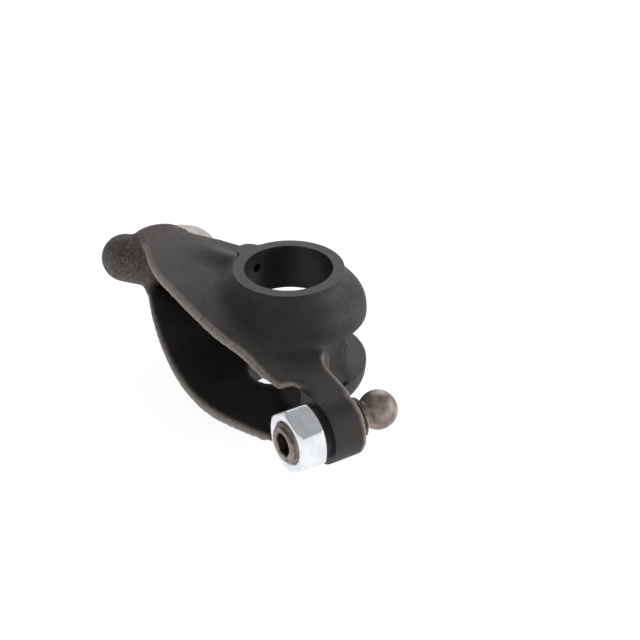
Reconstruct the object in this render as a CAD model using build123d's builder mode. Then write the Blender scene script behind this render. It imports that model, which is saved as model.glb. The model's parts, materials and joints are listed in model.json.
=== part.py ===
"""Roller rocker arm with a ball-ended adjusting screw.

Millimetres. The rocker shaft runs along Z, and the origin is on the shaft's axis, midway between
the two machined ring faces. +X points to the adjusting screw and +Y to the side that works: the
ball sits in its push rod's cup there, and the roller presses on the valve gear.

The body is one casting: two thin side walls, bowed apart like the sides of a canoe, that meet in
a round nose at one end and in the screw's boss at the other. It is open towards -Y.
"""

import os
from math import cos, pi, radians, sin, sqrt, tan

from build123d import *

# ---- shaft hub ---------------------------------------------------------------------------
bore_diameter = 22.0
relief_diameter = 23.0  # the bore is cored out between its two bearings
ring_diameter = 27.6
ring_land = 0.7  # height of the turned land under each ring face
hub_width = 38.2
barrel_swell = 2.2  # how far the barrel has spread at its knee
barrel_knee = 0.66  # height of the knee, as a share of the barrel
barrel_shoulder = 0.43
shoulder_inset = 1.1
flange_diameter = 38.8
flange_gap = 14.0
gap_reach = 26.0  # how far from the shaft's axis the gap is cleared, away from the screw
gap_edge = 3.0  # where the gap ends, beside the web
gap_turn = -158.0  # direction of its other end, from +X
hollow_radius = 34.0  # hollow for the push rod, between the flanges
hollow_centre = (25.4, 40.8)
throat_radius = 13.0  # hollow between the hub and the boss
throat_centre = (30.2, 6.6)
throat_blend = 2.7  # softens the corner between the two hollows
oil_hole_diameter = 2.4
gallery_turn = -164.0  # direction of the oil gallery, from +X
gallery_height = 14.8
gallery_radius = 2.6
gallery_tip_radius = 1.6
gallery_tip_offset = (4.2, -1.0)  # from the roller's axis
gallery_bump_radius = 3.4

# ---- side walls, seen along the shaft ----------------------------------------------------
mouth_depth = 26.0  # from the shaft's axis to the deepest point of the open edge
mouth_middle = -2.5
mouth_radius = 113.0
front_edge_x = -46.0  # ahead of this the open edge runs straight to the nose
nose_tip = (-57.6, -15.0)  # where that edge ends
closed_turn = 113.6  # direction in which the closed edge leaves the flange
back_sag = 1.8  # how far the closed edge dips between roller and hub
web_thickness = 4.8
web_turn = -43.0  # direction in which the web starts, under the bore
floor_thickness = 4.2  # behind the closed edge
heel_step = 0.6  # from the arm down to the boss's face

# ---- side walls, seen across the shaft ---------------------------------------------------
wall = 2.2
nose_half_width = 7.3
waist_half_width = 14.5
flank_half_width = 11.1
arm_half_width = 8.3
waist_dip = 1.6  # how much lower the wall is beside the hub than at its open edge
flank_dip = 3.6
arm_dip = 0.6
back_half_width = 8.6  # at the closed edge
flank_rise = 0.2  # of the closed edge, above the gap beside it
waist_x = -6.0
waist_reach = 12.0
waist_bow = 0.9
flank_x = 20.0
arm_x = 34.0
shoulder_y = -5.0
floor_y = 1.0

# ---- roller end --------------------------------------------------------------------------
roller_centre = (-50.4, -4.9)
roller_diameter = 18.4
roller_width = 9.8
roller_clearance = 0.8  # from the roller to the casting
pin_diameter = 5.4
needle_diameter = 1.6
needle_count = 13
needle_play = 0.02
needle_side_play = 0.3
washer_thickness = 0.5
washer_play = 0.1
washer_diameter = 11.0
lug_centre = (-50.2, -9.9)
lug_diameter = 18.6
nose_chamfer = 1.5  # soft edge of the nose and of the closed side
nose_centre = (-57.1, -18.1)
nose_diameter = 13.2
nose_root = (-50.2, -12.9)

# ---- adjusting screw ---------------------------------------------------------------------
screw_arm = 39.6  # from the shaft's axis to the screw's
thread_diameter = 10.0
thread_play = 0.03
ball_diameter = 9.5
ball_neck_diameter = 6.4
ball_offset = 0.2
boss_diameter = 16.0
boss_start = -16.3
boss_end = -7.8
seat_diameter = 13.0
seat_height = 1.7
nut_flats = 14.0
nut_height = 6.8
nut_turn = -22.5
screw_stick_out = 1.0
socket_flats = 5.0
socket_depth = 5.0
spot_face_diameter = 24.0  # room for the nut's spanner

# ---- worked out from these ---------------------------------------------------------------
bore_radius = bore_diameter / 2
relief_radius = relief_diameter / 2
ring_radius = ring_diameter / 2
hub_face = hub_width / 2
flange_radius = flange_diameter / 2
gap_half = flange_gap / 2
barrel = hub_face - gap_half
roller_radius = roller_diameter / 2
slot_half = roller_width / 2 + washer_thickness + washer_play
roller_bore_radius = pin_diameter / 2 + needle_diameter + 2 * needle_play
lug_radius = lug_diameter / 2
boss_radius = boss_diameter / 2
nut_end = boss_start - seat_height
nut_start = nut_end - nut_height
screw_start = nut_start - screw_stick_out
mouth_centre_y = mouth_radius - mouth_depth
mouth_y = -mouth_depth - wall
back_y = flange_radius + wall
heel = (screw_arm, boss_end + heel_step)
front_x = lug_centre[0] - lug_radius
far = 2 * hub_width  # beyond everything, for cuts

os.makedirs("parts", exist_ok=True)


def mouth_edge_y(x):
    """Height of the open edge."""
    return mouth_centre_y - sqrt(mouth_radius**2 - (x - mouth_middle) ** 2)


def side_profile(y, nose, waist, flank, arm):
    """The arm's section across the plane of this y: half its width along X, mirrored."""
    with BuildSketch(Plane.XZ.offset(-y)) as face:
        with BuildLine():
            Polyline((-far, 0), (-far, nose), (lug_centre[0], nose),
                     (waist_x - waist_reach, waist - waist_bow))
            ThreePointArc((waist_x - waist_reach, waist - waist_bow), (waist_x, waist),
                          (waist_x + waist_reach, waist - waist_bow))
            Polyline((waist_x + waist_reach, waist - waist_bow), (flank_x, flank), (arm_x, arm),
                     (far, arm), (far, 0))
            mirror(about=Plane.XZ)
        make_face()
    return face.sketch


# ---- outside of the side walls -----------------------------------------------------------
with BuildSketch() as throat:
    with Locations(hollow_centre):
        Circle(hollow_radius)
    with Locations(throat_centre):
        Circle(throat_radius)
    with BuildLine():
        throat_left = throat_centre[0] - throat_radius
        blend_x = throat_left - throat_blend
        blend_y = hollow_centre[1] - sqrt(hollow_radius**2 - (hollow_centre[0] - blend_x) ** 2)
        Polyline((blend_x, blend_y), (throat_left, throat_centre[1]), throat_centre, hollow_centre,
                 (blend_x, blend_y))
    make_face()

with BuildSketch() as mouth:
    with Locations((mouth_middle, mouth_centre_y)):
        Circle(mouth_radius)
    with BuildLine():
        front_edge = (front_edge_x, mouth_edge_y(front_edge_x))
        Polyline(front_edge, nose_tip, (2 * front_x, nose_tip[1]), (2 * front_x, 0),
                 (front_edge_x, 0), front_edge)
    make_face()

shoulder = side_profile(shoulder_y, nose_half_width, waist_half_width - waist_dip,
                        flank_half_width - flank_dip, arm_half_width - arm_dip)
with BuildPart() as hull:
    add(side_profile(mouth_y, nose_half_width, waist_half_width, flank_half_width,
                     arm_half_width))
    add(shoulder)
    loft(ruled=True)
    add(shoulder)
    add(side_profile(back_y, nose_half_width, back_half_width, gap_half + flank_rise,
                     gap_half))
    loft(ruled=True)
    with BuildSketch():
        with BuildLine():
            back_start = (lug_centre[0], lug_centre[1] + lug_radius)
            back_end = (flange_radius * cos(radians(closed_turn)),
                        flange_radius * sin(radians(closed_turn)))
            ThreePointArc(back_start, ((back_start[0] + back_end[0]) / 2,
                          (back_start[1] + back_end[1]) / 2 - back_sag), back_end)
            Polyline(back_end, (0, 0), (throat_centre[0], 0),
                     (throat_centre[0], throat_centre[1] - throat_radius), heel,
                     (screw_arm, 2 * mouth_y), (front_x, 2 * mouth_y), lug_centre, back_start)
        make_face()
        with Locations(lug_centre):
            Circle(lug_radius)
        Circle(flange_radius)
        add(mouth.sketch, mode=Mode.INTERSECT)
        add(throat.sketch, mode=Mode.SUBTRACT)
    extrude(amount=far, both=True, mode=Mode.INTERSECT)
    outer = hull.edges().filter_by(lambda edge: abs(edge.center().Z) > 0.9 * nose_half_width)
    nose_edges = outer.filter_by(lambda edge: edge.center().X < lug_centre[0] - 0.5 * lug_radius
                                 and edge.center().Y > nose_tip[1] + 1)
    closed_edges = outer.filter_by(lambda edge: front_x < edge.center().X < -0.6 * flange_radius
                                   and edge.center().Y > 4)
    chamfer(nose_edges + closed_edges, nose_chamfer)

# ---- the hollow between the walls --------------------------------------------------------
inner_floor = side_profile(-10, nose_half_width - wall, waist_half_width - waist_dip - wall,
                           flank_half_width - flank_dip, arm_half_width - wall)
with BuildPart() as pocket:
    add(side_profile(mouth_y - wall, nose_half_width - wall, waist_half_width - wall,
                     flank_half_width - wall, arm_half_width - wall))
    add(inner_floor)
    loft(ruled=True)
    add(inner_floor)
    add(side_profile(floor_y, nose_half_width - wall, gap_half + 0.8, gap_half,
                     arm_half_width - wall))
    loft(ruled=True)
    with BuildSketch():
        with BuildLine():
            boss_side = screw_arm - boss_radius
            Polyline(
                (lug_centre[0], 2 * mouth_y), (lug_centre[0] - 1, nose_root[1] - nose_diameter / 4),
                (roller_centre[0] + gallery_tip_offset[0],
                 back_start[1] - floor_thickness + wall / 2),
                (-0.8 * flange_radius, 0.75 * flange_radius - floor_thickness),
                (0, 0),
                (relief_radius * cos(radians(web_turn)), relief_radius * sin(radians(web_turn))),
                (boss_side, heel[1] - web_thickness), (boss_side, 2 * mouth_y),
                (lug_centre[0], 2 * mouth_y),
            )
        make_face()
    extrude(amount=far, both=True, mode=Mode.INTERSECT)

# ---- rocker body -------------------------------------------------------------------------
gallery_axis = Vector(cos(radians(gallery_turn)), sin(radians(gallery_turn)), 0)
gallery_start = gallery_axis * ring_radius + Vector(0, 0, gallery_height)
gallery_end = Vector(roller_centre[0] + gallery_tip_offset[0],
                     roller_centre[1] + gallery_tip_offset[1],
                     nose_half_width - 0.8 * gallery_tip_radius)
gallery_line = gallery_end - gallery_start
nose_line = Vector(*nose_root, 0) - Vector(*nose_centre, 0)

with BuildPart() as rocker_body:
    add(hull.part)
    # the hub: a barrel each side that spreads into a flat flange
    with BuildSketch(Plane.XZ):
        with BuildLine():
            land_end = (ring_radius, hub_face - ring_land)
            Polyline((0, 0), (0, hub_face), (ring_radius, hub_face), land_end)
            Spline(land_end, (ring_radius + barrel_swell, gap_half + barrel_knee * barrel),
                   (flange_radius - shoulder_inset, gap_half + barrel_shoulder * barrel), (flange_radius, gap_half),
                   tangents=((0.3, -1), (0, -1)))
            Polyline((flange_radius, gap_half), (flange_radius, 0), (0, 0))
        make_face()
    revolve(axis=Axis.Z)
    mirror(about=Plane.XY)
    # the screw's boss
    with BuildSketch(Plane.XZ.offset(-boss_end)):
        with Locations((screw_arm, 0)):
            Circle(boss_radius)
    extrude(amount=boss_end - boss_start)
    # oil gallery along the upper wall, from the shaft to the roller's pin
    with BuildSketch(Plane(origin=gallery_start, z_dir=gallery_line)):
        Circle(gallery_radius)
    with BuildSketch(Plane(origin=gallery_end, z_dir=gallery_line)):
        Circle(gallery_tip_radius)
    loft()
    with Locations(gallery_start):
        Sphere(gallery_bump_radius)
    add(pocket.part, mode=Mode.SUBTRACT)
    # round nose that joins the two walls
    with BuildSketch(Plane(origin=(*nose_centre, 0), z_dir=nose_line)):
        Circle(nose_diameter / 2)
    extrude(amount=nose_line.length)
    with Locations(nose_centre, nose_root):
        Sphere(nose_diameter / 2)
    # the gap that parts the flanges, and the roller's slot
    with BuildSketch(Plane.XY.offset(-gap_half)):
        Circle(gap_reach)
        with BuildLine():
            Polyline((0, 0), (gap_edge, bore_radius), (gap_edge, far), (far, far), (far, -far),
                     (far * cos(radians(gap_turn)), far * sin(radians(gap_turn))), (0, 0))
        make_face(mode=Mode.SUBTRACT)
    extrude(amount=flange_gap, mode=Mode.SUBTRACT)
    with BuildSketch(Plane.XY.offset(-gap_half)):
        add(throat.sketch)
    extrude(amount=flange_gap, mode=Mode.SUBTRACT)
    with BuildSketch(Plane.XY.offset(-slot_half)):
        with Locations(roller_centre):
            Circle(roller_radius + roller_clearance)
    extrude(amount=2 * slot_half, mode=Mode.SUBTRACT)
    # room for the nut's spanner, and the turned seat under the nut
    with BuildSketch(Plane.XZ.offset(-boss_start)):
        with Locations((screw_arm, 0)):
            Circle(spot_face_diameter / 2)
    extrude(amount=far, mode=Mode.SUBTRACT)
    with BuildSketch(Plane.XZ.offset(-boss_start)):
        with Locations((screw_arm, 0)):
            Circle(seat_diameter / 2)
    extrude(amount=seat_height)
    # holes
    Cylinder(bore_radius, 2 * far, mode=Mode.SUBTRACT)
    Cylinder(relief_radius, flange_gap, mode=Mode.SUBTRACT)
    with Locations((*roller_centre, 0)):
        Cylinder(pin_diameter / 2, 2 * far, mode=Mode.SUBTRACT)
    with Locations(Location((screw_arm, 0, 0), (90, 0, 0))):
        Cylinder(thread_diameter / 2 + thread_play, 2 * far, mode=Mode.SUBTRACT)
    with BuildSketch(Plane(origin=(0, 0, gallery_height), z_dir=gallery_axis)):
        Circle(oil_hole_diameter / 2)
    extrude(amount=ring_radius, mode=Mode.SUBTRACT)
rocker_body.part.label = "rocker_body"
export_step(rocker_body.part, "parts/rocker_body.step")

# ---- roller, its needles, washers and pin ------------------------------------------------
def turned(name, plane, inner, outer, half_width, edge):
    """A ring about the plane's normal, with its outer edges chamfered."""
    with BuildPart(plane) as ring:
        Cylinder(outer, 2 * half_width)
        chamfer(ring.edges().filter_by(GeomType.CIRCLE), edge)
        if inner:
            Cylinder(inner, 2 * half_width, mode=Mode.SUBTRACT)
    ring.part.label = name
    export_step(ring.part, f"parts/{name}.step")
    return ring.part


roller_plane = Plane(origin=(*roller_centre, 0))
pin_half = nose_half_width
turned("roller", roller_plane, roller_bore_radius, roller_radius, roller_width / 2, 0.8)
turned("roller_pin", roller_plane, 0, pin_diameter / 2, pin_half, 0.5)
for name, side in (("upper", 1), ("lower", -1)):
    washer_z = side * (roller_width / 2 + (washer_thickness + washer_play) / 2)
    washer_plane = Plane(origin=(*roller_centre, washer_z))
    with BuildPart(washer_plane) as washer:
        Cylinder(washer_diameter / 2, washer_thickness)
        Cylinder(pin_diameter / 2 + needle_play, washer_thickness, mode=Mode.SUBTRACT)
    washer.part.label = f"{name}_thrust_washer"
    export_step(washer.part, f"parts/{name}_thrust_washer.step")
needle_circle = pin_diameter / 2 + needle_play + needle_diameter / 2
for n in range(needle_count):
    turn = 2 * pi * n / needle_count
    place = (roller_centre[0] + needle_circle * cos(turn), roller_centre[1] + needle_circle * sin(turn), 0)
    turned(f"needle_{n + 1:02d}", Plane(origin=place), 0, needle_diameter / 2,
           roller_width / 2 - needle_side_play, 0.3)

# ---- adjusting screw ---------------------------------------------------------------------
neck_end = ball_offset - sqrt((ball_diameter / 2) ** 2 - (ball_neck_diameter / 2) ** 2)
thread_end = neck_end - 1.2
with BuildPart() as adjusting_screw:
    with BuildSketch(Plane.XY):
        with BuildLine():
            Polyline((screw_arm, screw_start), (screw_arm + thread_diameter / 2 - 0.8, screw_start),
                     (screw_arm + thread_diameter / 2, screw_start + 0.8),
                     (screw_arm + thread_diameter / 2, thread_end - 0.8),
                     (screw_arm + ball_neck_diameter / 2, thread_end),
                     (screw_arm + ball_neck_diameter / 2, neck_end))
            ThreePointArc((screw_arm + ball_neck_diameter / 2, neck_end),
                          (screw_arm + ball_diameter / 2, ball_offset),
                          (screw_arm, ball_offset + ball_diameter / 2))
            Line((screw_arm, ball_offset + ball_diameter / 2), (screw_arm, screw_start))
        make_face()
    revolve(axis=Axis((screw_arm, 0, 0), (0, 1, 0)))
    with BuildSketch(Plane.XZ.offset(-screw_start)):
        with Locations((screw_arm, 0)):
            RegularPolygon(socket_flats / 2, 6, major_radius=False)
    extrude(amount=-socket_depth, mode=Mode.SUBTRACT)
adjusting_screw.part.label = "adjusting_screw"
export_step(adjusting_screw.part, "parts/adjusting_screw.step")

# ---- lock nut ----------------------------------------------------------------------------
with BuildPart() as lock_nut:
    with BuildSketch(Plane.XZ.offset(-nut_start)):
        with Locations((screw_arm, 0)):
            RegularPolygon(nut_flats / 2, 6, major_radius=False, rotation=nut_turn)
            Circle(thread_diameter / 2 + thread_play, mode=Mode.SUBTRACT)
    extrude(amount=-nut_height)
    with BuildSketch(Plane.XY):
        with BuildLine():
            corner = nut_flats / sqrt(3)
            drop = (corner - nut_flats / 2) * tan(radians(30))
            Polyline((screw_arm, nut_start), (screw_arm + nut_flats / 2, nut_start),
                     (screw_arm + corner, nut_start + drop), (screw_arm + corner, nut_end - drop),
                     (screw_arm + nut_flats / 2, nut_end), (screw_arm, nut_end),
                     (screw_arm, nut_start))
        make_face()
    revolve(axis=Axis((screw_arm, 0, 0), (0, 1, 0)), mode=Mode.INTERSECT)
lock_nut.part.label = "lock_nut"
export_step(lock_nut.part, "parts/lock_nut.step")
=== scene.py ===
# %% [markdown]
# # A roller rocker arm
#
# A rocker arm passes a push rod's stroke on to a valve. This one is a dark casting with a roller
# on needles in its nose, and a ball-ended screw with a lock nut at its other end. The solids come
# from the CAD model, in metres, with the shaft's axis as Z. They could be shown as they are, but
# a real casting has soft corners and a real screw has a thread. So the body is made again here
# from its solid, the screw and the nut from their sizes, and the other pieces only get a finish.

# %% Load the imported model
import json
import math

import bmesh
import bpy
import numpy as np
from mathutils import Matrix, Vector
from mathutils.bvhtree import BVHTree

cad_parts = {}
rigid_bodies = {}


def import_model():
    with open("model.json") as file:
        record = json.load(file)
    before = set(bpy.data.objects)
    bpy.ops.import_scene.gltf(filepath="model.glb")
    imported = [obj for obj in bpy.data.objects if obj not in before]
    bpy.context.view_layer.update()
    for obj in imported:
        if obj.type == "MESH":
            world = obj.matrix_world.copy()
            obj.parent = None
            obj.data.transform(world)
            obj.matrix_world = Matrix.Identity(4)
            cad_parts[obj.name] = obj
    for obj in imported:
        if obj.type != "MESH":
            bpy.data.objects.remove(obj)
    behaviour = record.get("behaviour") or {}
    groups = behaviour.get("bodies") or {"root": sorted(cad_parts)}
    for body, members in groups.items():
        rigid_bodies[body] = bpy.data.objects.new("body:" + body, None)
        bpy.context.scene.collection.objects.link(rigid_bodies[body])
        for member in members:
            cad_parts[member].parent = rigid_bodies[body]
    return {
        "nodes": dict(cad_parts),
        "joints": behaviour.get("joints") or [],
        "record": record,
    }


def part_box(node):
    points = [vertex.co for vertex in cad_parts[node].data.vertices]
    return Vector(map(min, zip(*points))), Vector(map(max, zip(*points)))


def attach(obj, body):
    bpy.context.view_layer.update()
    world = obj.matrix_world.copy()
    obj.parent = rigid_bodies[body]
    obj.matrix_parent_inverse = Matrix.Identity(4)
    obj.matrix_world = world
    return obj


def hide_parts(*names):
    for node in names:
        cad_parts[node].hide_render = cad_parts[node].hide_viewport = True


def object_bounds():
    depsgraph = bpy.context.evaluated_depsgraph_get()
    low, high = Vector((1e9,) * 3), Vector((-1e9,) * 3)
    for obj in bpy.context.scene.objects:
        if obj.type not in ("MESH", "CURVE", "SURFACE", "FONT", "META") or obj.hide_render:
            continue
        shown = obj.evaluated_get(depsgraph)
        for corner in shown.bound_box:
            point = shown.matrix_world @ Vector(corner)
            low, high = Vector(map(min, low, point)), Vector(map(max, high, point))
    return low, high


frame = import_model()
cad_low, cad_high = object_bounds()
nodes = frame["nodes"]
print("nodes:", ", ".join(sorted(nodes)))

# %% Places that the later cells share
MM = 0.001
joints = {joint["name"]: joint for joint in frame["joints"]}
mounts = {mount["name"]: mount for mount in frame["record"]["mounts"]}
ROLLER_AXIS = Vector(joints["roller_spin"]["pos_m"])
SCREW_AXIS = Vector(joints["lock_nut_turn"]["pos_m"])
print("roller axis", ROLLER_AXIS, "screw axis", SCREW_AXIS)

# %% [markdown]
# ## The camera first
#
# A long lens looks down at the arm from the screw's side. A camera can be aimed with a Track To
# constraint, but that always keeps it level. Here its axes are written as unit vectors, because
# they also fix a small roll, and a matrix turns them into a rotation.

# %% Camera
CAMERA_PLACE = Vector((286.8, -168.2, 211.5)) * MM
CAMERA_RIGHT = Vector((0.5286, 0.8489, -0.0057))
CAMERA_UP = Vector((-0.4472, 0.2842, 0.8481))
CAMERA_LENS = 87.76  # on Blender's usual sensor, 36 mm wide

camera_data = bpy.data.cameras.new("camera")
camera_data.lens = CAMERA_LENS
camera_data.clip_start = 10 * MM
camera = bpy.data.objects.new("camera", camera_data)
bpy.context.scene.collection.objects.link(camera)
camera_back = CAMERA_RIGHT.cross(CAMERA_UP)
camera_turn = Matrix((CAMERA_RIGHT, CAMERA_UP, camera_back)).transposed().to_4x4()
camera.matrix_world = Matrix.Translation(CAMERA_PLACE) @ camera_turn
bpy.context.scene.camera = camera
print("camera at", tuple(round(v, 4) for v in CAMERA_PLACE))

# %% [markdown]
# ## Floor and light
#
# Small steel parts are shown on white card under even, almost shadowless light. In a studio the
# card is bent up behind the part. Here one large flat card is enough, because the camera looks
# down on it, and light of its own keeps the card white. Four soft panels under a dim white sky
# then give the metal something to reflect.

# %% Helpers for colour and nodes
def linear(hex_colour):
    """A colour for the shader, from sRGB hex to linear values."""
    values = [int(hex_colour[i : i + 2], 16) / 255 for i in (1, 3, 5)]
    return [v / 12.92 if v <= 0.04045 else ((v + 0.055) / 1.055) ** 2.4 for v in values] + [1.0]


def plug(tree, node, **inputs):
    """Gives inputs their values, or links them to a socket or to a node's first output.

    An input goes by its name, or by its number where several have the same name, as in _1.
    """
    for name, value in inputs.items():
        plain = name.replace("_", " ").strip()
        if plain.isdigit():
            socket = node.inputs[int(plain)]
        else:
            socket = next(s for s in node.inputs if s.enabled and s.name == plain)
        if isinstance(value, bpy.types.Node):
            value = next(s for s in value.outputs if s.enabled)
        if isinstance(value, bpy.types.NodeSocket):
            tree.links.new(value, socket)
        else:
            socket.default_value = value


def add(tree, kind, settings=None, **inputs):
    """Adds one node, with its own settings and its inputs."""
    node = tree.nodes.new(kind)
    for name, value in (settings or {}).items():
        setattr(node, name, value)
    plug(tree, node, **inputs)
    return node


def new_material(name):
    """A material with its Principled shader."""
    material = bpy.data.materials.new(name)
    material.use_nodes = True
    tree = material.node_tree
    return material, tree, tree.nodes["Principled BSDF"]


print("middle grey is", round(linear("#808080")[0], 3), "in linear light")

# %% Floor
FLOOR_SIZE = 4.0

half = FLOOR_SIZE / 2
level = cad_low[2]
corners = [(-half, -half, level), (half, -half, level), (half, half, level), (-half, half, level)]
floor_mesh = bpy.data.meshes.new("floor")
floor_mesh.from_pydata(corners, [], [(0, 1, 2, 3)])
floor = bpy.data.objects.new("floor", floor_mesh)
bpy.context.scene.collection.objects.link(floor)
card, tree, shader = new_material("matt white card")
plug(tree, shader, Base_Color=linear("#8c8c8c"), Roughness=0.9)
plug(tree, shader, Emission_Color=linear("#ffffff"), Emission_Strength=0.9)
floor.data.materials.append(card)
print("floor:", FLOOR_SIZE, "m wide, level with the lower ring face at", round(level / MM, 2), "mm")

# %% Sky
# It is brighter near the horizon than overhead, so that a face turned up looks darker in metal.
HORIZON, OVERHEAD = 0.5, 0.25
OVERHEAD_FROM = 0.9  # share of the way up at which the sky is at its darkest

world = bpy.data.worlds.new("white studio")
bpy.context.scene.world = world
world.use_nodes = True
sky = world.node_tree
direction = add(sky, "ShaderNodeTexCoord").outputs["Generated"]
height = add(sky, "ShaderNodeSeparateXYZ", Vector=direction).outputs["Z"]
brightness = add(sky, "ShaderNodeMapRange", Value=height, From_Max=OVERHEAD_FROM,
                 To_Min=HORIZON, To_Max=OVERHEAD)
plug(sky, sky.nodes["Background"], Color=linear("#ffffff"), Strength=brightness)
bpy.context.scene.view_settings.view_transform = "Standard"
print("sky:", HORIZON, "at the horizon,", OVERHEAD, "overhead")


# %% Panels
def panel(name, place, width, height, power):
    """A soft rectangular light in metres and watts, aimed at the shaft's bore."""
    light = bpy.data.lights.new(name, "AREA")
    light.shape = "RECTANGLE"
    light.size, light.size_y, light.energy = width, height, power
    lamp = bpy.data.objects.new(name, light)
    lamp.location = place
    lamp.rotation_euler = (-Vector(place)).to_track_quat("-Z", "Y").to_euler()
    bpy.context.scene.collection.objects.link(lamp)


panel("top panel", (0.05, 0.05, 0.75), 0.8, 0.8, power=0.3)
panel("front panel", (0.35, -0.75, 0.35), 0.6, 0.4, power=1)
panel("right panel", (0.4, 0.75, 0.3), 0.6, 0.4, power=5)
panel("back panel", (-0.7, 0.5, 0.48), 0.8, 0.5, power=2.5)
print("panels:", len(bpy.data.lights))

# %% [markdown]
# ## Tools for shaping
#
# A foundry casts the arm with soft corners, and a machine shop then cuts the flat and round
# faces that matter. The same two steps are followed here. The CAD solid could be bevelled edge
# by edge, but a casting has no edge that stays sharp, so it is remeshed and relaxed instead,
# with spare metal left where a cutter will go. Booleans then cut those faces crisp.

# %% Temporary solids
def solid(name, points, faces):
    """A new object from points in metres."""
    mesh = bpy.data.meshes.new(name)
    mesh.from_pydata([tuple(p) for p in points], [], faces)
    piece = bpy.data.objects.new(name, mesh)
    bpy.context.scene.collection.objects.link(piece)
    return piece


def circle(radius, centre=(0, 0), start=0.0, end=360.0, steps=160):
    """Points of an arc, counter-clockwise, in millimetres."""
    turns = np.radians(np.linspace(start, end, steps, endpoint=end - start < 360))
    return [(centre[0] + radius * math.cos(t), centre[1] + radius * math.sin(t)) for t in turns]


def stack(levels):
    """A closed solid through counter-clockwise outlines, each at its height, in mm."""
    count = len(levels[0][1])
    points = [(x * MM, y * MM, z * MM) for z, outline in levels for x, y in outline]
    top = count * (len(levels) - 1)
    faces = [tuple(reversed(range(count))), tuple(range(top, top + count))]
    for a in range(0, top, count):
        faces += [(a + i, a + (i + 1) % count, a + count + (i + 1) % count, a + count + i)
                  for i in range(count)]
    return solid("tool", points, faces)


def prism(outline, low, high):
    """A closed solid over one outline, from one height to another."""
    return stack([(low, outline), (high, outline)])


def along_screw(piece):
    """Turns a prism so that its height runs along the screw, in Y."""
    lie_down = Matrix.Rotation(-math.pi / 2, 4, "X")
    piece.data.transform(Matrix.Translation((SCREW_AXIS.x, 0, 0)) @ lie_down)
    return piece


print("a circle has", len(circle(1)), "points")


# %% Booleans
def settle(piece):
    """Applies the modifiers of a piece to its mesh."""
    graph = bpy.context.evaluated_depsgraph_get()
    mesh = bpy.data.meshes.new_from_object(piece.evaluated_get(graph))
    piece.modifiers.clear()
    piece.data = mesh


def combine(piece, tool, operation="DIFFERENCE"):
    """One boolean, after which the tool is thrown away."""
    modifier = piece.modifiers.new("cut", "BOOLEAN")
    modifier.operation, modifier.solver, modifier.object = operation, "MANIFOLD", tool
    settle(piece)
    bpy.data.objects.remove(tool)
    return piece


trial = combine(prism(circle(10), 0, 5), prism(circle(5), -1, 6))
print("a trial washer has", len(trial.data.polygons), "faces")
bpy.data.objects.remove(trial)


# %% Smoothing
def neighbour_mean(values, pairs, counts):
    """The mean of each point's neighbours along edges."""
    total = np.zeros_like(values)
    for k in range(values.shape[1]):
        for here, there in (pairs.T, pairs.T[::-1]):
            total[:, k] += np.bincount(here, weights=values[there, k], minlength=len(values))
    return total / counts[:, None]


def mesh_graph(mesh):
    """Points, edge pairs and neighbour counts as arrays."""
    points = np.empty(3 * len(mesh.vertices))
    mesh.vertices.foreach_get("co", points)
    pairs = np.empty(2 * len(mesh.edges), dtype=np.int32)
    mesh.edges.foreach_get("vertices", pairs)
    pairs = pairs.reshape(-1, 2)
    counts = np.maximum(np.bincount(pairs.ravel(), minlength=len(mesh.vertices)), 1)
    return points.reshape(-1, 3), pairs, counts


def relax(mesh, rounds, shares=(0.5,), weight=1.0):
    """Moves points towards their neighbours. A negative second share undoes most of the shrinking."""
    points, pairs, counts = mesh_graph(mesh)
    for _ in range(rounds):
        for share in shares:
            points += share * weight * (neighbour_mean(points, pairs, counts) - points)
    mesh.vertices.foreach_set("co", points.ravel())
    mesh.update()


def ramp(values, start, end):
    """0 up to the start, 1 from the end, and even in between. Either may be the larger one."""
    return np.clip((values - start) / (end - start), 0, 1)


print("halfway down a ramp from 7 to 4:", ramp(5.5, 7, 4))


# %% How sharply a surface bends
def face_arrays(mesh):
    """Centres and normals of the faces, in millimetres."""
    centres, normals = np.empty(3 * len(mesh.polygons)), np.empty(3 * len(mesh.polygons))
    mesh.polygons.foreach_get("center", centres)
    mesh.polygons.foreach_get("normal", normals)
    return centres.reshape(-1, 3) / MM, normals.reshape(-1, 3)


def edge_sides(mesh):
    """Each edge that joins two faces, with those faces, as three arrays."""
    loops = np.empty(len(mesh.loops), dtype=np.int32)
    mesh.loops.foreach_get("edge_index", loops)
    totals = np.empty(len(mesh.polygons), dtype=np.int32)
    mesh.polygons.foreach_get("loop_total", totals)
    owner = np.repeat(np.arange(len(totals)), totals)
    order = np.argsort(loops, kind="stable")
    edges, owner = loops[order], owner[order]
    twin = np.nonzero(edges[1:] == edges[:-1])[0]
    return edges[twin], owner[twin], owner[twin + 1]


def ridge_of(mesh, blur):
    """How sharply the surface bends at each point, in 1/mm: above 0 on ridges, below 0 in hollows."""
    centres, normals = face_arrays(mesh)
    points, pairs, counts = mesh_graph(mesh)
    points /= MM
    edge, one, two = edge_sides(mesh)
    bend = np.arccos(np.clip((normals[one] * normals[two]).sum(1), -1, 1))
    bend *= -np.sign(((centres[two] - centres[one]) * normals[one]).sum(1))
    length = np.linalg.norm(points[pairs[edge, 0]] - points[pairs[edge, 1]], axis=1)
    area = np.empty(len(mesh.polygons))
    mesh.polygons.foreach_get("area", area)
    area /= MM * MM
    values = np.zeros((len(points), 2))  # bend times length, and the area that it belongs to
    for ends in pairs[edge].T:
        values[:, 0] += np.bincount(ends, weights=bend * length / 2, minlength=len(points))
        values[:, 1] += np.bincount(ends, weights=(area[one] + area[two]) / 4, minlength=len(points))
    for _ in range(blur):
        values = 0.5 * values + 0.5 * neighbour_mean(values, pairs, counts)
    return values[:, 0] / np.maximum(values[:, 1], 1e-6)


print("the CAD body has", len(edge_sides(nodes["rocker_body"].data)[0]), "edges between two faces")

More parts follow.
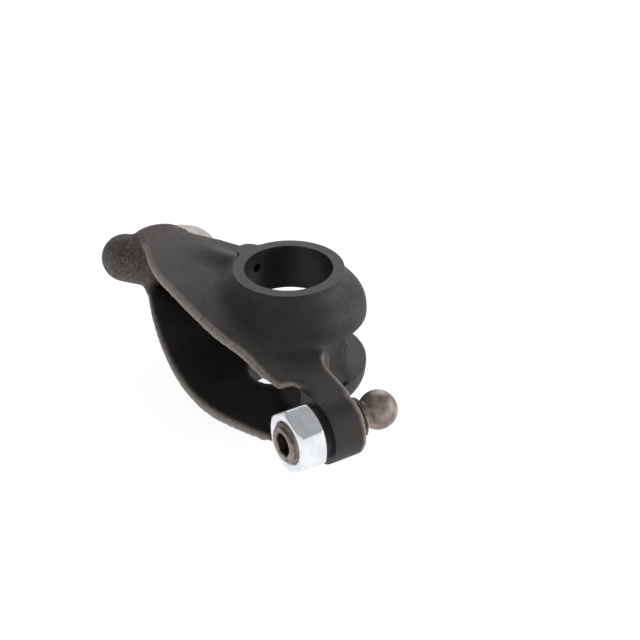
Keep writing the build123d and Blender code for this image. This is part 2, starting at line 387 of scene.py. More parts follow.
# %% [markdown]
# ## The body as it leaves the mould
#
# The real arm is cast steel. It leaves the mould with round edges, with fillets in its corners,
# and with spare metal wherever a cutter comes later. A Bevel modifier could round the edges, but
# it fails where bowed walls, a rib and a boss run into each other. So the CAD solid and its
# spare metal are melted into one even skin by a voxel remesh, and the skin is relaxed.

# %% Sizes of the body, in millimetres, as in the CAD solid
BORE = mounts["shaft_bore"]["dims"]["r_mm"]
HUB_FACE = round(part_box("rocker_body")[1][2] / MM, 3)  # height of the ring faces
RELIEF, RING, FLANGE = 11.5, 13.8, 19.4  # radii round the shaft
GAP = 7.0  # half the gap between the two flanges
GAP_EDGE, GAP_END = 3.0, 202  # the gap starts at this x beside the web, and ends at this angle
HOLLOW, HOLLOW_PLACE = 34, (25.4, 40.8)  # room for the push rod
THROAT, THROAT_PLACE, THROAT_BLEND = 13, (30.2, 6.6), 2.7  # between the hub and the boss
THREAD, BOSS = 5.0, 8.0  # radii round the screw
SEAT_RADIUS, SEAT_TOP = 6.5, -18.0  # the nut's seat, which stands up from the spot face
SPOT_TOP, BOSS_END = -16.3, -7.8
GALLERY_TURN, GALLERY_HEIGHT, OIL_HOLE = math.radians(-164), 14.8, 1.2
LUG_SIDE, SLOT_SIDE, PIN = 7.3, 5.5, 2.7  # the roller's lugs from outside and inside, and its pin

roller_place = (ROLLER_AXIS.x / MM, ROLLER_AXIS.y / MM)
print("bore", BORE, "ring face at", HUB_FACE, "roller at", [round(v, 2) for v in roller_place])


# %% Shapes that both the spare metal and the cutters need
def gap_outline(radius):
    """The sector of the hub that is open between its flanges."""
    start = math.degrees(math.acos(GAP_EDGE / radius))
    return [(0, 0), (GAP_EDGE, BORE)] + circle(radius, (0, 0), start, GAP_END, 60)


def throat_tool(half_height, radius, saddle):
    """The part of the throat inside the hub. Its wall is hollowed between the two flanges."""
    tuck = 0.1  # the wall turns in by this much at each flange
    grows = []
    for z in np.linspace(-half_height, half_height, 29):
        hollowed = saddle * (1 - (z / half_height) ** 2)
        grows.append((z, hollowed - (tuck if abs(z) == half_height else 0)))
    tool = stack([(z, circle(HOLLOW + grow, HOLLOW_PLACE)) for z, grow in grows])
    combine(tool, stack([(z, circle(THROAT + grow, THROAT_PLACE)) for z, grow in grows]), "UNION")
    throat_side = THROAT_PLACE[0] - THROAT
    blend_x = throat_side - THROAT_BLEND
    blend_y = HOLLOW_PLACE[1] - math.sqrt(HOLLOW ** 2 - (HOLLOW_PLACE[0] - blend_x) ** 2)
    between = [(blend_x, blend_y), (throat_side, THROAT_PLACE[1]), THROAT_PLACE, HOLLOW_PLACE]
    combine(tool, prism(between, -half_height, half_height), "UNION")
    return combine(tool, prism(circle(radius), -half_height - 1, half_height + 1), "INTERSECT")


print("gap outline:", len(gap_outline(FLANGE)), "points")


# %% Helpers that gather metal
def copy_of(node):
    """A welded copy of a CAD node's mesh."""
    piece = bpy.data.objects.new("casting", nodes[node].data.copy())
    bpy.context.scene.collection.objects.link(piece)
    edit = bmesh.new()
    edit.from_mesh(piece.data)
    bmesh.ops.remove_doubles(edit, verts=edit.verts, dist=2e-6)
    edit.to_mesh(piece.data)
    edit.free()
    return piece


def gather(piece, others):
    """Joins other solids to a piece without any boolean."""
    edit = bmesh.new()
    edit.from_mesh(piece.data)
    for other in others:
        edit.from_mesh(other.data)
        bpy.data.objects.remove(other)
    edit.to_mesh(piece.data)
    edit.free()


casting = copy_of("rocker_body")
print("CAD body:", len(casting.data.vertices), "points")

# %% Spare metal for the cutters
# Each filler stops a hair short of the surface that its cutter leaves, so that no skin stays.
ALLOWANCE = 1.5  # spare metal on each side of a ring face
HAIR = 0.05
INSET = 0.2  # of the fillers inside the round flanges
BUMP = 3.0  # radius of the metal that carries the gallery's bump up to the ring face

bump_place = (RING * math.cos(GALLERY_TURN), RING * math.sin(GALLERY_TURN))
spare = [prism(circle(BORE - HAIR), -HUB_FACE - ALLOWANCE, HUB_FACE + ALLOWANCE)]
for side in (-1, 1):
    ring_ends = sorted((side * (HUB_FACE - ALLOWANCE), side * (HUB_FACE + ALLOWANCE)))
    pin_ends = sorted((side * SLOT_SIDE, side * LUG_SIDE))
    spare.append(prism(circle(RING), *ring_ends))
    spare.append(prism(circle(PIN + 0.2, roller_place), *pin_ends))
spare.append(prism(circle(BUMP, bump_place), GALLERY_HEIGHT, HUB_FACE + ALLOWANCE))
spare.append(prism(gap_outline(FLANGE - INSET), HAIR - GAP, GAP - HAIR))
spare.append(throat_tool(GAP - HAIR, FLANGE - INSET, saddle=0.0))
spare.append(along_screw(prism(circle(BOSS - 0.1), SEAT_TOP - 3, SPOT_TOP + 0.5)))
spare.append(along_screw(prism(circle(THREAD), SEAT_TOP - 3, BOSS_END)))
print("spare pieces:", len(spare))
gather(casting, spare)

# %% One even skin
VOXEL = 0.5
GRID_TURN = math.radians(37)  # no long edge then runs along the voxels, where it would step
BACK_AND_FORTH = (0.5, -0.52)  # smooths the voxels' steps and keeps the walls' thickness

casting.data.transform(Matrix.Rotation(GRID_TURN, 4, "Z"))
remesh = casting.modifiers.new("remesh", "REMESH")
remesh.mode, remesh.voxel_size = "VOXEL", VOXEL * MM
settle(casting)
casting.data.transform(Matrix.Rotation(-GRID_TURN, 4, "Z"))
relax(casting.data, 14, BACK_AND_FORTH)
relax(casting.data, 5)
print("skin:", len(casting.data.vertices), "points")

# %% [markdown]
# ## Fillets and hand dressing
#
# Metal doesn't fill a sharp inner corner, so the hollows of a casting are rounder than its
# edges. More relaxing everywhere would also thin the walls and blunt the rims. So each step below
# has a weight per point, which says where it acts: in the hollows, over the oil gallery, and
# where a fettler has dressed the rims by hand. A sculpting brush could do it too, but a weight
# worked out from sizes gives the same result on each run.

# %% The dressed rim
# The open edge of the upper wall was ground back a little between the hub and the screw.
EDGE_DRESSED, DRESSED_X, DRESSED_REACH = 1.5, 17, 8

points, pairs, counts = mesh_graph(casting.data)
x, y, z = points.T / MM
dressed = EDGE_DRESSED * np.exp(-(((x - DRESSED_X) / DRESSED_REACH) ** 2))
dressed *= ramp(-y, 14, 22) * ramp(z, 4, 6)  # only well below the hub, on the upper wall
points[:, 1] += dressed * MM
casting.data.vertices.foreach_set("co", points.ravel())
casting.data.update()
print("rim dressed by up to", round(float(dressed.max()), 2), "mm")

# %% Fillets in the hollows
FILLET_ROUNDS, FILLET_SPREAD, FILLET_BLUR = 60, 8, 6
HOLLOW_FROM, HOLLOW_FULL = 0.02, 0.145  # bends in 1/mm at which a fillet starts and is full
ROLLER_ROOM = 11.5  # the slot round the roller keeps its corners
NOSE_END, BORE_EDGE, RING_LAND = -47, 13.5, 1.7  # and so do the nose, the bore and the rings

points, pairs, counts = mesh_graph(casting.data)
fill = ramp(-ridge_of(casting.data, 6), HOLLOW_FROM, HOLLOW_FULL)[:, None]
for _ in range(FILLET_SPREAD):
    fill = np.maximum(fill, neighbour_mean(fill, pairs, counts))
x, y, z = points.T / MM
by_roller = np.hypot(x - roller_place[0], y - roller_place[1]) < ROLLER_ROOM
fill[by_roller & (np.abs(z) < LUG_SIDE - 1.1)] = 0
fill[(np.abs(z) > HUB_FACE - RING_LAND) | (x < NOSE_END) | (np.hypot(x, y) < BORE_EDGE)] = 0
for _ in range(FILLET_BLUR):
    fill = neighbour_mean(fill, pairs, counts)
relax(casting.data, FILLET_ROUNDS, weight=fill)
print("fillets reach", round(100 * float((fill > 0.1).mean())), "% of the points")

# %% The swell over the oil gallery
# The gallery shows only as a soft swelling of the wall, so its metal is relaxed on both sides.
GALLERY_ROUNDS = 120
GALLERY_START, GALLERY_STOP = np.array((-13.3, -3.8, 14.8)), np.array((-46.2, -5.9, 6.0))
GALLERY_NEAR, GALLERY_FAR = 4, 7  # relaxed fully up to the one, and not at all past the other

points = mesh_graph(casting.data)[0] / MM
along = GALLERY_STOP - GALLERY_START
share = np.clip((points - GALLERY_START) @ along / (along @ along), 0.06, 1.1)
away = np.linalg.norm(points - GALLERY_START - share[:, None] * along, axis=1)
soft = ramp(away, GALLERY_FAR, GALLERY_NEAR) * ramp(points[:, 2], 17.2, 15.7)  # not the ring
relax(casting.data, GALLERY_ROUNDS, weight=soft[:, None])
print("gallery:", int((soft > 0.5).sum()), "points softened")

# %% The heels by the nut
# The walls end near the nut in a hand-dressed curve, which leaves room for a spanner.
HEEL_ROUNDS = 40

points = mesh_graph(casting.data)[0] / MM
away = np.hypot(points[:, 0] - SCREW_AXIS.x / MM, points[:, 2])
round_boss = ramp(away, 9.5, 11) * ramp(away, 17.5, 15.5)  # outside the boss, near the nut
soft = round_boss * ramp(points[:, 1], -12.5, -14.5)
relax(casting.data, HEEL_ROUNDS, weight=soft[:, None])
print("heels:", int((soft > 0.5).sum()), "points softened")

# %% [markdown]
# ## Machining
#
# A lathe faces and bores the hub, a cutter opens the gap between its flanges, and drills make
# the thread's, the pin's and the oil holes. Each leaves a crisp edge in the soft casting. Cutting
# with loops and extrusions would mean stitching new edges into a dense skin. A boolean with the
# cutter's own shape does it in one step, and its solver keeps the mesh closed.

# %% Cuts in the hub
SADDLE = 2.2  # how much deeper the throat is halfway between the flanges
OVER = 0.4  # cutters reach this far past the flanges' rims

combine(casting, prism(circle(2 * BORE), HUB_FACE, HUB_FACE + 5))
combine(casting, prism(circle(2 * BORE), -HUB_FACE - 5, -HUB_FACE))
combine(casting, prism(gap_outline(FLANGE + OVER), -GAP, GAP))
combine(casting, throat_tool(GAP, FLANGE + OVER, SADDLE))
combine(casting, prism(circle(BORE), -HUB_FACE - 1, HUB_FACE + 1))
combine(casting, prism(circle(RELIEF), -GAP, GAP))
print("after the hub:", len(casting.data.vertices), "points")

# %% Cuts in the boss, the lugs and the gallery
THREAD_PLAY = 0.03
PIN_CHAMFER = 0.5
SPOT_RADIUS = 10.5  # less than in the CAD solid, so that the soft edge of its spot face stays

spot_cutter = along_screw(prism(circle(SPOT_RADIUS), SEAT_TOP - 20, SPOT_TOP))
combine(spot_cutter, along_screw(prism(circle(SEAT_RADIUS), SEAT_TOP, SPOT_TOP + 1)))
combine(casting, spot_cutter)
thread_drill = along_screw(prism(circle(THREAD + THREAD_PLAY), SEAT_TOP - 5, BOSS_END + 5))
combine(casting, thread_drill)
mouth = PIN - PIN_CHAMFER  # the lugs are staked over the pin's ends, so the hole narrows there
pin_hole = [(-LUG_SIDE - 1, mouth), (-LUG_SIDE, mouth), (PIN_CHAMFER - LUG_SIDE, PIN)]
pin_hole += [(-height, radius) for height, radius in reversed(pin_hole)]
combine(casting, stack([(height, circle(radius, roller_place)) for height, radius in pin_hole]))
oil_drill = prism(circle(OIL_HOLE, steps=32), 2, RING - 1)
aim = Vector((math.cos(GALLERY_TURN), math.sin(GALLERY_TURN), 0)).to_track_quat("Z", "Y")
oil_drill.data.transform(Matrix.Translation((0, 0, GALLERY_HEIGHT * MM)) @ aim.to_matrix().to_4x4())
combine(casting, oil_drill)
print("machined casting:", len(casting.data.vertices), "points",
      sum(len(p.vertices) - 2 for p in casting.data.polygons), "triangles")


# %% Swarf
# A cut can free a sliver of spare metal. Only the largest island, the casting itself, is kept.
def islands_of(edit):
    """Lists of faces that hang together, the smallest first."""
    seen, islands = set(), []
    for face in edit.faces:
        if face.index in seen:
            continue
        seen.add(face.index)
        island = [face]
        for member in island:  # grows while it is read
            around = {other for edge in member.edges for other in edge.link_faces}
            fresh = [other for other in around if other.index not in seen]
            seen.update(other.index for other in fresh)
            island += fresh
        islands.append(island)
    return sorted(islands, key=len)


edit = bmesh.new()
edit.from_mesh(casting.data)
slivers = islands_of(edit)[:-1]
print("slivers dropped:", [len(sliver) for sliver in slivers], "faces")
bmesh.ops.delete(edit, geom=[face for sliver in slivers for face in sliver], context="FACES")
edit.to_mesh(casting.data)
edit.free()

# %% [markdown]
# ## Marks that the finish reads
#
# On the real arm the coat is thin on worn ridges. Here the ridges also get a painted highlight,
# and the hollows and shut-in places get painted shade. Vertex paint could show that, by hand. A
# shader could also find it while rendering, but the Bevel and Ambient Occlusion nodes are slow,
# and other programs don't know them. So each mark is measured once here and kept on the mesh as
# an attribute.

# %% Machined faces
FLAT = 0.98  # a normal this far along an axis is taken as square to it


def mark(mesh, name, domain, values):
    """Keeps one number for each point or face, for the shader to read."""
    mesh.attributes.new(name, "FLOAT", domain).data.foreach_set("value", values.astype(np.float32))


centres, normals = face_arrays(casting.data)
height = np.abs(centres[:, 2])
level_face = np.abs(normals[:, 2]) > FLAT
reach = np.hypot(centres[:, 0], centres[:, 1])
screw_reach = np.hypot(centres[:, 0] - SCREW_AXIS.x / MM, centres[:, 2])
cut = level_face & (height > HUB_FACE - 0.05)
cut |= (reach < BORE + 0.06) | ((reach < RELIEF + 0.06) & (height < GAP))
cut |= level_face & (np.abs(height - GAP) < 0.02) & (reach < FLANGE + 0.2)
spot_faced = (screw_reach < SPOT_RADIUS + 0.05) & (centres[:, 1] < SPOT_TOP + 0.02)
cut |= spot_faced & (np.abs(normals[:, 1]) > FLAT)
mark(casting.data, "machined", "FACE", cut)
print("machined faces:", int(cut.sum()))

# %% Ridges and hollows
bend = ridge_of(casting.data, 8)
mark(casting.data, "ridge", "POINT", np.clip(bend, 0, 2))
mark(casting.data, "hollow", "POINT", np.clip(-bend, 0, 2))
print("1 in 20 points bends more than", round(float(np.percentile(bend, 95)), 3), "per mm")

# %% Shut-in places
# How much of its surroundings each point sees, felt with a few rays, says where the finish gets painted
# shade.
RAYS = 12
RAY_START, RAY_REACH = 0.2, 50  # in millimetres

skin_tree = BVHTree.FromPolygons([v.co for v in casting.data.vertices],
                                 [p.vertices for p in casting.data.polygons])
golden_turn = math.pi * (3 - math.sqrt(5))  # spreads any number of rays evenly
rays = []
for k in range(RAYS):
    lift, turn = math.asin(math.sqrt((k + 0.5) / RAYS)), k * golden_turn
    out = math.cos(lift)
    rays.append(Vector((math.cos(turn) * out, math.sin(turn) * out, math.sin(lift))))
shut = np.zeros((len(casting.data.vertices), 1))
for i, vertex in enumerate(casting.data.vertices):
    upright = vertex.normal.to_track_quat("Z", "Y")
    start = vertex.co + vertex.normal * RAY_START * MM
    hits = [skin_tree.ray_cast(start, upright @ ray, RAY_REACH * MM)[0] for ray in rays]
    shut[i] = sum(hit is not None for hit in hits) / RAYS
points, pairs, counts = mesh_graph(casting.data)
for _ in range(5):
    shut = neighbour_mean(shut, pairs, counts)
mark(casting.data, "shut", "POINT", shut[:, 0])
print("shut in, on average:", round(float(shut.mean()), 2))

# %% Hand the body over
for face in casting.data.polygons:
    face.use_smooth = True
casting.data.set_sharp_from_angle(angle=math.radians(38))
casting.name = "cast_body"
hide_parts("rocker_body")
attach(casting, "arm")
print(casting.name, "is done:", len(casting.data.attributes), "attributes")

# %% [markdown]
# ## The adjusting screw
#
# The real screw is turned, its thread is rolled, and its ball is ground to sit in the push rod's
# cup. A Screw modifier can wind a thread, but its ends need mending by hand. Here the screw is a
# grid of rings whose radius is a function of turn and height. That gives a real helical thread
# that fades in and out, and the socket, the neck and the ball are only more rings.

# %% Grid solids about the screw's axis
def hexagon(turns, flats, sharpness, turned=0.0):
    """Distance from the axis to a hexagon's side. A low sharpness rounds the corners."""
    sides = np.maximum(0, np.cos(turns[:, None] - np.radians(turned) - np.arange(6) * np.pi / 3))
    return flats / 2 / (sides ** sharpness).sum(1) ** (1 / sharpness)


def ring_solid(name, turns, rings, closed=False):
    """A solid from rings, each a height and a radius or radii, in mm.

    A closed one is a tube whose last ring meets the first. Otherwise both ends close in a point.
    """
    points, faces = [], []
    count = len(turns)
    for height, radius in rings:
        radius = np.broadcast_to(radius, turns.shape)
        x, z = SCREW_AXIS.x / MM + radius * np.cos(turns), radius * np.sin(turns)
        points += [(a * MM, height * MM, b * MM) for a, b in zip(x, z)]
    spans = len(rings) if closed else len(rings) - 1
    for i in range(spans):
        a, b = i * count, (i + 1) % len(rings) * count
        faces += [(a + j, a + (j + 1) % count, b + (j + 1) % count, b + j) for j in range(count)]
    if not closed:
        for end, height in ((0, rings[0][0]), (len(rings) - 1, rings[-1][0])):
            tip, a = len(points), end * count
            points.append((SCREW_AXIS.x, height * MM, 0))
            faces += [(a + j, a + (j + 1) % count, tip) for j in range(count)]
    piece = solid(name, points, faces)
    edit = bmesh.new()
    edit.from_mesh(piece.data)
    bmesh.ops.recalc_face_normals(edit, faces=edit.faces)
    edit.to_mesh(piece.data)
    edit.free()
    for face in piece.data.polygons:
        face.use_smooth = True
    piece.data.set_sharp_from_angle(angle=math.radians(50))
    return piece


print("a hexagon 14 mm across flats is", round(2 * hexagon(np.zeros(1), 14, 200, 30)[0], 2),
      "mm across corners")

# %% The end with the socket
PITCH = 1.25  # a fine thread, so that the valve's clearance can be set finely
SOCKET_FLATS, SOCKET_DEPTH = 5.0, 5.0
THREAD_DEPTH = 0.61 * PITCH
ROOT = THREAD - THREAD_DEPTH

turns = np.radians(np.arange(0, 360, 3.0))
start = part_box("adjusting_screw")[0][1] / MM
socket = hexagon(turns, SOCKET_FLATS, 200, 30)
rings = [
    (start + SOCKET_DEPTH + 0.9, 0.05),  # the point that the drill left
    (start + SOCKET_DEPTH, socket * 0.97),
    (start + SOCKET_DEPTH - 0.1, socket),
    (start + 0.35, socket),
    (start + 0.3, socket * 1.01),
    (start + 0.04, SOCKET_FLATS / 2 * 1.22),  # the mouth is coned for the key
    (start, SOCKET_FLATS / 2 * 1.26),
    (start, ROOT - 0.15),
]
print("screw starts at", round(start, 2), "with a root of", round(ROOT, 2))

# %% The thread and the ball
BALL, BALL_PLACE, NECK, NECK_LENGTH = 4.75, 0.2, 3.2, 1.2
STEPS = 12  # rings in each turn of the thread
LEAD_IN, RUN_OUT = 0.9, 2.5  # how steeply the thread rises at the socket and sinks to the neck
SOCKET_SHADE_FROM, SOCKET_SHADE_TO, SOCKET_SHADE_RADIUS = 0.2, 7, 2.95  # the socket's inside, from its end and its axis, where shade is painted

neck_top = BALL_PLACE - math.sqrt(BALL ** 2 - NECK ** 2)
thread_top = neck_top - NECK_LENGTH
for height in np.arange(start, thread_top + 0.01, PITCH / STEPS):
    wave = 2 * np.abs((height / PITCH + turns / (2 * np.pi)) % 1 - 0.5)
    thread = THREAD - THREAD_DEPTH * np.clip((wave - 0.12) / 0.76, 0, 1)
    rise, sink = LEAD_IN * (height - start), RUN_OUT * (thread_top - height)
    rings.append((height, np.minimum(thread, min(ROOT - 0.1 + rise, NECK + 0.2 + sink))))
rings += [(thread_top, NECK), (neck_top - 0.12, NECK), (neck_top, NECK + 0.05)]
low_turn = math.atan2(neck_top - BALL_PLACE, NECK)
for lift in np.linspace(low_turn, math.pi / 2, 40)[1:-1]:
    rings.append((BALL_PLACE + BALL * math.sin(lift), BALL * math.cos(lift)))
rings.append((BALL_PLACE + BALL, 0.05))
screw = ring_solid("threaded_screw", turns, rings)
# The socket's inside is marked for painted shade.
inside = [start + SOCKET_SHADE_FROM < v.co.y / MM < start + SOCKET_SHADE_TO
          and math.hypot(v.co.x - SCREW_AXIS.x, v.co.z) < SOCKET_SHADE_RADIUS * MM
          for v in screw.data.vertices]
mark(screw.data, "socket", "POINT", np.array(inside))
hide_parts("adjusting_screw")
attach(screw, "screw")
print("screw:", len(screw.data.vertices), "points")

# %% [markdown]
# ## The lock nut
#
# A nut is cut from hexagon bar and turned at both ends, so its flats meet each chamfer in curves.
# A six-sided cylinder cut by two cones would show that too. The ring grid needs no boolean: each
# radius is the smaller of the hexagon's and the cone's, and a smooth choice between the two
# rounds the edge that they share.

# %% Lock nut
NUT_FLATS, NUT_TURN = 14.0, -22.5
CHAMFER_ANGLE = math.radians(30)
CHAMFER_IN = 0.15  # how far inside the flats the chamfer's circle lies
FLATS_SHARP, CHAMFER_SHARP = 60, 40
END, MIDDLE = 0.9, 1.2  # rings are close up to END from each face, and sparse from MIDDLE on

nut_low, nut_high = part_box("lock_nut")
low, high = nut_low[1] / MM, nut_high[1] / MM
tall = high - low
turns = np.radians(np.arange(0, 360, 1.5))
flats = hexagon(turns, NUT_FLATS, FLATS_SHARP, 30 + NUT_TURN)
heights = np.concatenate([np.linspace(0, END, 12), np.linspace(MIDDLE, tall - MIDDLE, 5),
                          np.linspace(tall - END, tall, 12)])
rings = []
for rise in heights:
    cone = NUT_FLATS / 2 - CHAMFER_IN + min(rise, tall - rise) / math.tan(CHAMFER_ANGLE)
    both = (flats ** -CHAMFER_SHARP + cone ** -CHAMFER_SHARP) ** (-1 / CHAMFER_SHARP)
    rings.append((low + rise, both))
hole, hole_mouth = THREAD + 0.05, THREAD + 0.6
rings += [(high, hole_mouth), (high - 0.5, hole), (low + 0.5, hole), (low, hole_mouth)]
nut = ring_solid("zinc_nut", turns, rings, closed=True)
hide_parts("lock_nut")
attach(nut, "nut")
print("nut:", len(nut.data.vertices), "points")

# %% [markdown]
# ## Finish of the casting
#
# The casting is blasted and then phosphated. The coat is a mat of fine crystals that drinks oil:
# nearly black, warm and dull. It could be one dark colour with one roughness, but then it looks
# like plastic. A few noise patterns of real sizes break it up, and the marks that were measured
# on the mesh say where it is rubbed and gets a painted highlight, where painted shade darkens it
# and where a cutter went later.

# %% Phosphated cast steel
BLASTED_GRIT, FINE_GRIT = 0.6, 0.35  # in mm; real grit is under 0.2, drawn coarser so that it shows
MOTTLES, CLOUDS = 5.0, 18.0  # patches of thin coat, and how unevenly a batch comes out of the bath
TOOL_SMEARS = 2.0  # patches on the machined faces
NOSE_FROM, NOSE_TO = -30 * MM, -50 * MM  # the nose is blasted harder than the walls, and its grit is painted paler for the reflection it catches
COLOURS = {"data_type": "RGBA"}  # makes a Mix node mix colours

body_paint, tree, shader = new_material("phosphated cast steel")
ridge, hollow, machined, shut = [
    add(tree, "ShaderNodeAttribute", {"attribute_name": name}).outputs["Fac"]
    for name in ("ridge", "hollow", "machined", "shut")]
place = add(tree, "ShaderNodeTexCoord").outputs["Object"]
along_x = add(tree, "ShaderNodeSeparateXYZ", Vector=place).outputs["X"]
nose = add(tree, "ShaderNodeMapRange", Value=along_x, From_Min=NOSE_FROM, From_Max=NOSE_TO)
grit, fine, mottle, cloud, smear = [
    add(tree, "ShaderNodeTexNoise", Vector=place, Scale=1 / (size * MM), Detail=detail, Roughness=rough)
    for size, detail, rough in ((BLASTED_GRIT, 5, 0.6), (FINE_GRIT, 3, 0.55), (MOTTLES, 3, 0.55),
                                (CLOUDS, 2, 0.55), (TOOL_SMEARS, 3, 0.55))]

# The coat itself: black, patchy, and with pale grit on the blasted nose, a painted reflection.
patches = add(tree, "ShaderNodeMapRange", Value=mottle, From_Min=0.35, From_Max=0.65)
coat = add(tree, "ShaderNodeMix", COLOURS, Factor=patches, A=linear("#1f1c1b"), B=linear("#2a2725"))
grains = add(tree, "ShaderNodeMapRange", Value=grit, From_Min=0.42, From_Max=0.58, To_Min=0.1)
grit_and_painted_sheen = add(tree, "ShaderNodeMath", {"operation": "MULTIPLY"}, _0=nose, _1=grains)
coat = add(tree, "ShaderNodeMix", COLOURS, Factor=grit_and_painted_sheen, A=coat, B=linear("#5e5753"))
thin = add(tree, "ShaderNodeMapRange", Value=cloud, From_Min=0.45, From_Max=0.7, To_Max=0.3)
coat = add(tree, "ShaderNodeMix", COLOURS, Factor=thin, A=coat, B=linear("#35302d"))

# Wear and painted light: rubbed ridges that also get a painted highlight, painted shade in the hollows, and
# near-black painted shade where nothing reaches.
wear_and_highlight = add(tree, "ShaderNodeMapRange", Value=ridge, From_Min=0.12, From_Max=0.4)
spots = add(tree, "ShaderNodeMapRange", Value=grit, From_Min=0.3, From_Max=0.6, To_Min=0.45)
rubbed_and_highlit = add(tree, "ShaderNodeMath", {"operation": "MULTIPLY"}, _0=wear_and_highlight, _1=spots)
# Worn bare metal on the ridges, lightened further as a painted highlight.
coat = add(tree, "ShaderNodeMix", COLOURS, Factor=rubbed_and_highlit, A=coat, B=linear("#8b847e"))
# Painted shade: the hollows are darkened towards near black.
painted_hollow_shade = add(tree, "ShaderNodeMapRange", Value=hollow, From_Min=0.06, From_Max=0.35, To_Max=0.6)
coat = add(tree, "ShaderNodeMix", COLOURS, Factor=painted_hollow_shade, A=coat, B=linear("#12100f"))
# Painted shade: shut-in places are darkened almost to black.
painted_shut_in_shade = add(tree, "ShaderNodeMapRange", Value=shut, From_Min=0.3, From_Max=0.75, To_Max=0.92)
coat = add(tree, "ShaderNodeMix", COLOURS, Factor=painted_shut_in_shade, A=coat, B=linear("#080707"))
print("coat:", len(tree.nodes), "nodes")

# %% Machined faces under the same coat
# They are smoother and a little bluer than the cast skin, and painted shade darkens them where they are
# shut in.
smeared = add(tree, "ShaderNodeMapRange", Value=smear, From_Min=0.3, From_Max=0.7)
turned = add(tree, "ShaderNodeMix", COLOURS, Factor=smeared, A=linear("#1a1b1d"), B=linear("#212326"))
# Painted shade on the machined faces where they are shut in.
painted_shut_in_shade = add(tree, "ShaderNodeMapRange", Value=shut, From_Min=0.3, From_Max=0.8, To_Max=0.8)
turned = add(tree, "ShaderNodeMix", COLOURS, Factor=painted_shut_in_shade, A=turned, B=linear("#0b0b0b"))
colour = add(tree, "ShaderNodeMix", COLOURS, Factor=machined, A=coat, B=turned)

dull = add(tree, "ShaderNodeMapRange", Value=grit, From_Min=0.3, From_Max=0.7, To_Min=0.52, To_Max=0.7)
smoother = add(tree, "ShaderNodeMath", {"operation": "MULTIPLY"}, _0=machined, _1=0.14)
rough = add(tree, "ShaderNodeMath", {"operation": "SUBTRACT"}, _0=dull, _1=smoother)

# The grain's height: full on the nose, less on the walls, least on a machined face.
raised = add(tree, "ShaderNodeMapRange", Value=nose, To_Min=0.7, To_Max=1.6)
flatter = add(tree, "ShaderNodeMath", {"operation": "MULTIPLY"}, _0=machined, _1=-0.6)
share = add(tree, "ShaderNodeMath", {"operation": "ADD"}, _0=raised, _1=flatter)
height = add(tree, "ShaderNodeMath", {"operation": "MULTIPLY"}, _0=grit, _1=share)
bumps = add(tree, "ShaderNodeBump", Height=height, Distance=0.15 * MM, Strength=0.8)
bumps = add(tree, "ShaderNodeBump", Height=fine, Distance=0.03 * MM, Strength=0.5, Normal=bumps)
plug(tree, shader, Base_Color=colour, Roughness=rough, Normal=bumps, Specular_IOR_Level=0.4)
casting.data.materials.clear()
casting.data.materials.append(body_paint)
print(body_paint.name + ":", len(tree.nodes), "nodes")

# %% [markdown]
# ## Finish of the nut
#
# The nut is plated with zinc and dipped, which leaves it bluish white, bright and slightly milky.
# A mirror-like metal would be wrong, because the plate follows the fine lines of the drawn bar
# under it. So the metal is pale and fairly rough, with a noise that is stretched along the flats.

# %% Bright zinc plate
DRAWN_LINES, LINE_STRETCH = 0.5, 0.12  # mm across; real lines are finer, drawn coarser to show
MILKY_PATCHES = 3.0

zinc, tree, shader = new_material("bright zinc plate")
place = add(tree, "ShaderNodeTexCoord").outputs["Object"]
stretched = add(tree, "ShaderNodeMapping", Vector=place, Scale=(1, LINE_STRETCH, 1))
lines, milk = [
    add(tree, "ShaderNodeTexNoise", Vector=vector, Scale=1 / (size * MM), Detail=3, Roughness=0.55)
    for vector, size in ((stretched, DRAWN_LINES), (place, MILKY_PATCHES))]
milky = add(tree, "ShaderNodeMapRange", Value=milk, From_Min=0.35, From_Max=0.65)
colour = add(tree, "ShaderNodeMix", COLOURS, Factor=milky, A=linear("#dfe3e7"), B=linear("#f0f3f5"))
rough = add(tree, "ShaderNodeMapRange", Value=lines, From_Min=0.3, From_Max=0.7, To_Min=0.3, To_Max=0.42)
bumps = add(tree, "ShaderNodeBump", Height=lines, Distance=0.01 * MM, Strength=0.5)
plug(tree, shader, Base_Color=colour, Roughness=rough, Normal=bumps, Metallic=1.0)
nut.data.materials.append(zinc)
print(zinc.name + ":", len(tree.nodes), "nodes")

# %% [markdown]
# ## Finish of the screw
#
# The screw is quenched in oil, which burns a thin brown skin on it. On the ball it is patchy,
# where it was rubbed, and the socket's inside gets painted shade, almost black. A painted
# picture could place each patch, but noise of two sizes needs no unwrapping and runs over the
# thread without a seam.

# %% Oiled hardened steel
RUBBED_PATCHES, SCALE_SPECKS = 3.5, 0.6  # in mm; the specks are drawn coarser to show

skin, tree, shader = new_material("oiled hardened steel")
place = add(tree, "ShaderNodeTexCoord").outputs["Object"]
patch, speck = [
    add(tree, "ShaderNodeTexNoise", Vector=place, Scale=1 / (size * MM), Detail=4, Roughness=0.55)
    for size in (RUBBED_PATCHES, SCALE_SPECKS)]
bare = add(tree, "ShaderNodeMapRange", Value=patch, From_Min=0.4, From_Max=0.62)
brown = add(tree, "ShaderNodeMix", COLOURS, Factor=bare, A=linear("#7a6f68"), B=linear("#a79d93"))
burnt = add(tree, "ShaderNodeMapRange", Value=speck, From_Min=0.4, From_Max=0.7, To_Max=0.3)
brown = add(tree, "ShaderNodeMix", COLOURS, Factor=burnt, A=brown, B=linear("#4c4440"))
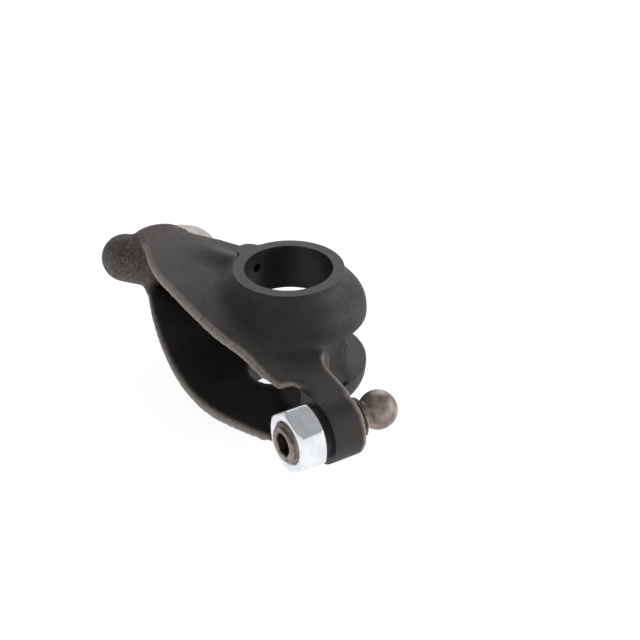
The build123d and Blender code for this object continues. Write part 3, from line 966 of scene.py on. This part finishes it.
# Painted shade: the socket's inside is darkened almost to black.
socket = add(tree, "ShaderNodeAttribute", {"attribute_name": "socket"}).outputs["Fac"]
socket_shade = add(tree, "ShaderNodeMath", {"operation": "MULTIPLY"}, _0=socket, _1=0.85)
colour = add(tree, "ShaderNodeMix", COLOURS, Factor=socket_shade, A=brown, B=linear("#0e0c0b"))
rough = add(tree, "ShaderNodeMapRange", Value=patch, From_Min=0.35, From_Max=0.65, To_Min=0.55, To_Max=0.45)
bumps = add(tree, "ShaderNodeBump", Height=speck, Distance=0.01 * MM, Strength=0.4)
plug(tree, shader, Base_Color=colour, Roughness=rough, Normal=bumps, Metallic=1.0)
screw.data.materials.append(skin)
print(skin.name + ":", len(tree.nodes), "nodes")

# %% [markdown]
# ## Finish of the roller, its bearing and its pin
#
# Roller, needles and washers are hardened and ground, so they are the brightest steel here, with
# fine lines round their axis. An anisotropic shader gives that look at once, but it needs a
# direction at each point. A noise that is stretched round the axis gives it without one.
# The pin is hardened and phosphated: darker, and only half metallic to the eye.

# %% Ground bearing steel
GROUND_LINES, ROUND_STRETCH = 0.4, 0.06  # mm across; real lines are finer, drawn coarser to show
DULL_PATCHES = 6.0

bright, tree, shader = new_material("ground bearing steel")
place = add(tree, "ShaderNodeTexCoord").outputs["Object"]
stretched = add(tree, "ShaderNodeMapping", Vector=place, Scale=(ROUND_STRETCH, ROUND_STRETCH, 1))
lines, patch = [
    add(tree, "ShaderNodeTexNoise", Vector=vector, Scale=1 / (size * MM), Detail=detail, Roughness=0.55)
    for vector, size, detail in ((stretched, GROUND_LINES, 3), (place, DULL_PATCHES, 1))]
duller = add(tree, "ShaderNodeMapRange", Value=patch, From_Min=0.3, From_Max=0.7)
colour = add(tree, "ShaderNodeMix", COLOURS, Factor=duller, A=linear("#767270"), B=linear("#827e7b"))
rough = add(tree, "ShaderNodeMapRange", Value=lines, From_Min=0.3, From_Max=0.7, To_Min=0.2, To_Max=0.32)
bumps = add(tree, "ShaderNodeBump", Height=lines, Distance=0.004 * MM, Strength=0.5)
plug(tree, shader, Base_Color=colour, Roughness=rough, Normal=bumps, Metallic=1.0)
print(bright.name + ":", len(tree.nodes), "nodes")

# %% Phosphated pin steel
CRYSTALS, WORN_PATCHES = 0.8, 1.5  # in mm; the crystals are drawn coarser to show

dark_pin, tree, shader = new_material("phosphated pin steel")
place = add(tree, "ShaderNodeTexCoord").outputs["Object"]
crystal, patch = [
    add(tree, "ShaderNodeTexNoise", Vector=place, Scale=1 / (size * MM), Detail=detail, Roughness=0.55)
    for size, detail in ((CRYSTALS, 4), (WORN_PATCHES, 3))]
pale = add(tree, "ShaderNodeMapRange", Value=crystal, From_Min=0.35, From_Max=0.65)
colour = add(tree, "ShaderNodeMix", COLOURS, Factor=pale, A=linear("#2c2a29"), B=linear("#47433f"))
rough = add(tree, "ShaderNodeMapRange", Value=patch, From_Min=0.3, From_Max=0.7, To_Min=0.4, To_Max=0.55)
plug(tree, shader, Base_Color=colour, Roughness=rough, Metallic=0.6)
for name in nodes:
    if name not in ("rocker_body", "lock_nut", "adjusting_screw"):
        nodes[name].data.materials[0] = dark_pin if name == "roller_pin" else bright
print(dark_pin.name + ":", len(tree.nodes), "nodes")
